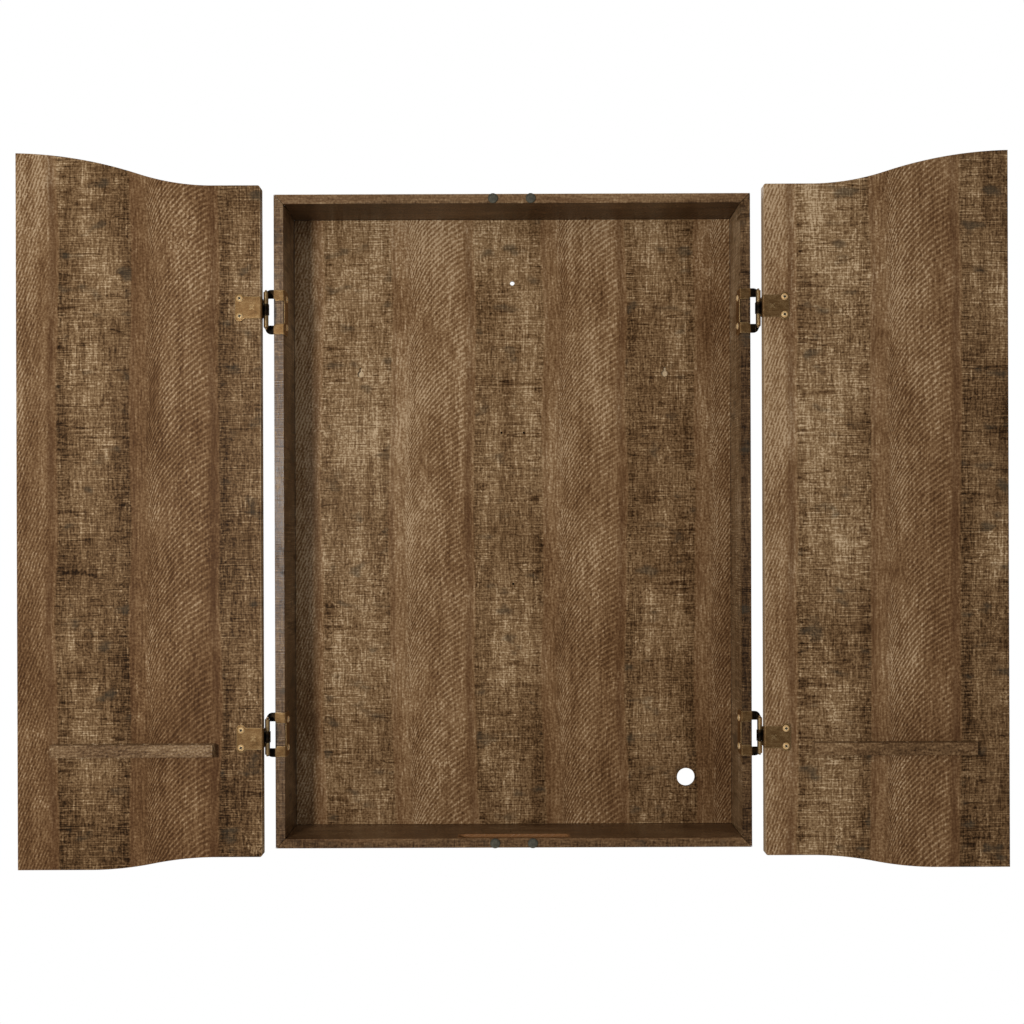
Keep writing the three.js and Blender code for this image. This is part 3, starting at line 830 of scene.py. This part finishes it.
def recess_tool():
    """A cross whose arms taper towards the bottom of the recess."""
    arm, blade, depth = RECESS["arm"], RECESS["blade"], RECESS["depth"]
    corners = [(blade, arm), (blade, blade), (arm, blade), (arm, -blade), (blade, -blade), (blade, -arm)]
    corners += [(-x, -y) for x, y in corners]
    bm = bmesh.new()
    rings = []
    for scale, height in ((1.15, HEAD["height"] + 0.5), (0.4, HEAD["height"] - depth)):
        rings.append([bm.verts.new((x * scale, y * scale, height)) for x, y in corners])
    upper, lower = rings
    bm.faces.new(upper)
    bm.faces.new(lower)
    for k in range(len(corners)):
        bm.faces.new((upper[k - 1], upper[k], lower[k], lower[k - 1]))
    bmesh.ops.recalc_face_normals(bm, faces=bm.faces)
    return bm


def metre_mesh(bm, name):
    bmesh.ops.scale(bm, vec=(MM, MM, MM), verts=bm.verts)
    mesh = mesh_of(bm, name)
    smooth(mesh)
    return mesh


def centre_of(node):
    low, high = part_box(node)
    return (low + high) / 2


def place_screw(node, mesh, material, looks, turn):
    """Puts a screw's head in place. looks is the way it faces, and turn is its own turn about that."""
    low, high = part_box(node)
    face = low if sum(looks) < 0 else high
    top = centre_of(node)
    for axis in range(3):
        if looks[axis]:
            top[axis] = face[axis]
    sink = (HEAD["height"] + HEAD_DROP) * MM
    rotation = Vector(looks).to_track_quat("Z", "Y").to_matrix().to_4x4()
    place = Matrix.Translation(top - Vector(looks) * sink) @ rotation @ Matrix.Rotation(turn, 4, "Z")
    stand_in(node, mesh, material, place)


def make_hinges(plating, bright):
    """The hinges. Each screw is turned by an angle of its own."""
    screw = metre_mesh(screw_mesh(), "screw")
    count = 0
    for side, way in SIDES.items():
        wings = {
            "frame_wing": placed_mesh(frame_wing_mesh(), side, f"{side}_frame_wing"),
            "door_wing": placed_mesh(door_wing_mesh(), side, f"{side}_door_wing"),
        }
        for level in LEVELS:
            hinge = f"{side}_{level}_hinge"
            place = Matrix.Translation(centre_of(f"{hinge}_pin"))
            finish_node(f"{hinge}_pin", plating, 0.3 * MM)
            for wing, mesh in wings.items():
                stand_in(f"{hinge}_{wing}", mesh, plating, place)
            for spot in ("top", "bottom"):
                count += 1
                place_screw(f"{hinge}_{spot}_door_screw", screw, bright, (0, -1, 0), count * 0.9)
                place_screw(f"{hinge}_{spot}_wall_screw", screw, bright, (-way, 0, 0), count * 1.7)


# ---------------------------------------------------------------- bumpers


def bumper_mesh():
    """A moulded dome on a short straight rim."""
    profile = [(0, 2.5), *curve((0.4, 2.5), (5.2, 2.5), (6.2, 1.25), 10)]
    profile += [(6.25, 1.1), (6.25, 0.2), (6.1, 0), (0, 0)]
    return lathe(profile, 48)


def make_bumpers(material):
    mesh = metre_mesh(bumper_mesh(), "bumper")
    for level in ("top", "bottom"):
        for side in SIDES:
            node = f"{level}_{side}_bumper"
            foot = centre_of(node)
            foot.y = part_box(node)[1].y - 0.1 * MM
            place = Matrix.Translation(foot) @ Matrix.Rotation(QUARTER, 4, "X")
            stand_in(node, mesh, material, place)


# ---------------------------------------------------------------- boards

EDGE_ROUND = 0.7 * MM  # of the printed boards
DOOR_FACE = 0.122  # how far forward of the wall the doors' inner faces lie
FRONT_EDGE = 0.0912  # how far forward the carcass's edge tape starts
HINGE_EDGE = 0.3145  # the doors' tape lies nearer than this to the middle of the cabinet
TOP_FACE = 0.2155  # height above which lies the top panel's upper face

DOOR_FINISH = {"gloss": 0.06, "rough": 0.42}
# the right door's higher tone and steeper fall are painted light: they make up for its lying further from the
# key light and paint a sheen along its hinge side
DOORS = {
    "left": {"start": -0.5702 + DOOR_FACE, "seed": 2.0, "tone": 0.09, "fall": (0.4, 0.22), **DOOR_FINISH},
    "right": {"start": 0.3524 - DOOR_FACE, "seed": 4.0, "tone": 0.22, "fall": (0.9, 0.16), **DOOR_FINISH},
}
PANELS = {
    "left": {
        "start": -0.28,
        "seed": 10.0,
        "tone": 0.05,
        "fall": (0, 0.2),
        "tapes": [(FORWARD, FRONT_EDGE, 0)],
        "gloss": 0.6,
    },
    "right": {
        "start": 0.19,
        "seed": 12.0,
        "tone": 0.17,
        "fall": (0, 0.2),
        "tapes": [(FORWARD, FRONT_EDGE, -0.28)],
    },
}
# the left rack's higher tone is a painted sheen, the light its smooth front catches from the left
RACKS = {
    "left": {"start": 0.05, "seed": 20.0, "figure": 0.15, "tone": 0.12, "gloss": 0.4},
    "right": {"start": 0.05, "seed": 22.0, "figure": 0.15, "tone": -0.05, "gloss": 0.2},
}
BACK = {"start": -0.272, "seed": 5.0, "figure": 0.88, "tone": 0.23, "fall": (0.35, 0.18), "gloss": 0.02}
# the top panel's low tone is painted shade for its underside; its tapes take that back off its front edge and
# upper face
TOP = {
    "start": 0.02,
    "seed": 31.0,
    "figure": 0.5,
    "tone": -0.24,
    "tapes": [(FORWARD, FRONT_EDGE, 0.3), (UPRIGHT, TOP_FACE, 0.3)],
}
BOTTOM = {"start": 0.02, "seed": 37.0, "figure": 0.6, "tone": -0.12, "tapes": [(FORWARD, FRONT_EDGE, 0.05)]}


def make_doors(raw):
    """The doors, with their side panels and dart racks."""
    for side, way in SIDES.items():
        wrap = (1, way, 0)  # across the face, and on round its edge
        # painted light: the hinge edges are lightened to lift the shade they get from light at a grazing
        # angle
        hinge_tape_painted_light = ((-way, 0, 0), -HINGE_EDGE, 0.3)
        door = laminate(f"{side}_door_oak", wrap, UPRIGHT, tapes=[hinge_tape_painted_light], **DOORS[side])
        finish_node(f"{side}_door", door, EDGE_ROUND)
        panel = laminate(f"{side}_panel_oak", wrap, UPRIGHT, **PANELS[side])
        finish_node(f"{side}_side_panel", panel, EDGE_ROUND)
        rack = laminate(f"{side}_rack_oak", DEEP, LEVEL, **RACKS[side])
        finish_node(f"{side}_dart_rack", rack, EDGE_ROUND)
        for place in ("inner", "outer"):
            finish_node(f"{side}_rack_{place}_dowel", raw, 0.4 * MM)


def make_carcass(raw):
    """The back, top and bottom, and the rails and block behind them."""
    finish_node("back_panel", laminate("back_oak", (1, 1, 0), UPRIGHT, **BACK), 0.25 * MM)
    finish_node("top_panel", laminate("top_oak", DEEP, LEVEL, **TOP), EDGE_ROUND)
    finish_node("bottom_panel", groove_laminate("bottom_oak", **BOTTOM), EDGE_ROUND)
    for node in ("upper_hanging_rail", "lower_rail", "board_mounting_block"):
        finish_node(node, raw, 0.5 * MM)


# ---------------------------------------------------------------- studio

CAMERA = {"place": (0.004, -1.568, -0.228), "lens": 40.8, "shift": (-0.004, 0.030), "roll": math.radians(0.2)}
AIM = (0, 0, -0.2)  # what the lights point at
SKY = {"Is Diffuse Ray": 0.23, "Is Glossy Ray": 0.1, "Is Camera Ray": 1.0}  # brightness for each kind
WHITE = (1, 1, 1, 1)
FLOOR = ((0.0, (226, 226, 224)), (1.0, (236, 236, 234)))


def make_camera():
    data = bpy.data.cameras.new("camera")
    data.lens = CAMERA["lens"]
    data.sensor_width = 36
    data.shift_x, data.shift_y = CAMERA["shift"]
    camera = bpy.data.objects.new("camera", data)
    camera.location = CAMERA["place"]
    camera.rotation_euler = (QUARTER, CAMERA["roll"], 0)
    bpy.context.scene.collection.objects.link(camera)
    bpy.context.scene.camera = camera


def softbox(name, place, size, power, diffuse=True, glossy=True):
    """A square light. It can be left out of diffuse light or of reflections."""
    data = bpy.data.lights.new(name, "AREA")
    data.shape = "RECTANGLE"
    data.size, data.size_y = size, size
    data.energy = power
    light = bpy.data.objects.new(name, data)
    light.location = place
    light.rotation_euler = (Vector(AIM) - Vector(place)).to_track_quat("-Z", "Y").to_euler()
    light.visible_camera = False
    light.visible_diffuse = diffuse
    light.visible_glossy = glossy
    bpy.context.scene.collection.objects.link(light)


def make_lights():
    softbox("key", (-1.35, -3.1, 0.05), 0.4, 61, glossy=False)
    softbox("glint", (-0.82, -3.1, -0.05), 0.22, 14, diffuse=False)
    softbox("fill", (1.9, -2.6, 0.9), 1.8, 12, glossy=False)
    softbox("rear", (-1.2, 3.0, 1.4), 2.0, 40)


def make_sky():
    """A white surround: dim as a light and in reflections, and bright where the camera sees it."""
    world = bpy.data.worlds.new("studio")
    world.use_nodes = True
    tree = world.node_tree
    rays = tree.nodes.new("ShaderNodeLightPath")
    first = tree.nodes["Background"]
    first.inputs["Color"].default_value = WHITE
    first.inputs["Strength"].default_value = SKY["Is Diffuse Ray"]
    sky = first.outputs[0]
    for ray in ("Is Glossy Ray", "Is Camera Ray"):
        background = tree.nodes.new("ShaderNodeBackground")
        background.inputs["Color"].default_value = WHITE
        background.inputs["Strength"].default_value = SKY[ray]
        mixer = tree.nodes.new("ShaderNodeMixShader")
        tree.links.new(rays.outputs[ray], mixer.inputs[0])
        tree.links.new(sky, mixer.inputs[1])
        tree.links.new(background.outputs[0], mixer.inputs[2])
        sky = mixer.outputs[0]
    tree.links.new(sky, tree.nodes["World Output"].inputs[0])
    bpy.context.scene.world = world
    bpy.context.scene.view_settings.view_transform = "Standard"


def make_floor():
    """A plain pale floor, well below the cabinet."""
    bm = bmesh.new()
    bmesh.ops.create_circle(bm, cap_ends=True, segments=64, radius=1.6)
    floor = bpy.data.objects.new("floor", mesh_of(bm, "floor"))
    floor.location = (0, 0, -1.8)
    g = Graph("floor")
    shade = 0.5 + g.noise(g.along((4, 0, 0)), g.along((0, 4, 0)))
    floor.data.materials.append(g.finish(g.ramp(shade, FLOOR), 0.8, shade, 0.0))
    bpy.context.scene.collection.objects.link(floor)


# ---------------------------------------------------------------- the whole scene

make_camera()
make_lights()
make_sky()
make_floor()

raw = raw_board("raw_board")
make_doors(raw)
make_carcass(raw)

antique_brass = brass("antique_brass", ANTIQUE_BRASS, on_hinge=True)
recess = (RECESS["arm"] * 1.1 * MM, (HEAD["height"] - 0.35) * MM)
screw_brass = brass("screw_brass", BRIGHT_BRASS, recess=recess)
make_hinges(antique_brass, screw_brass)
make_bumpers(rubber("bumper_rubber"))
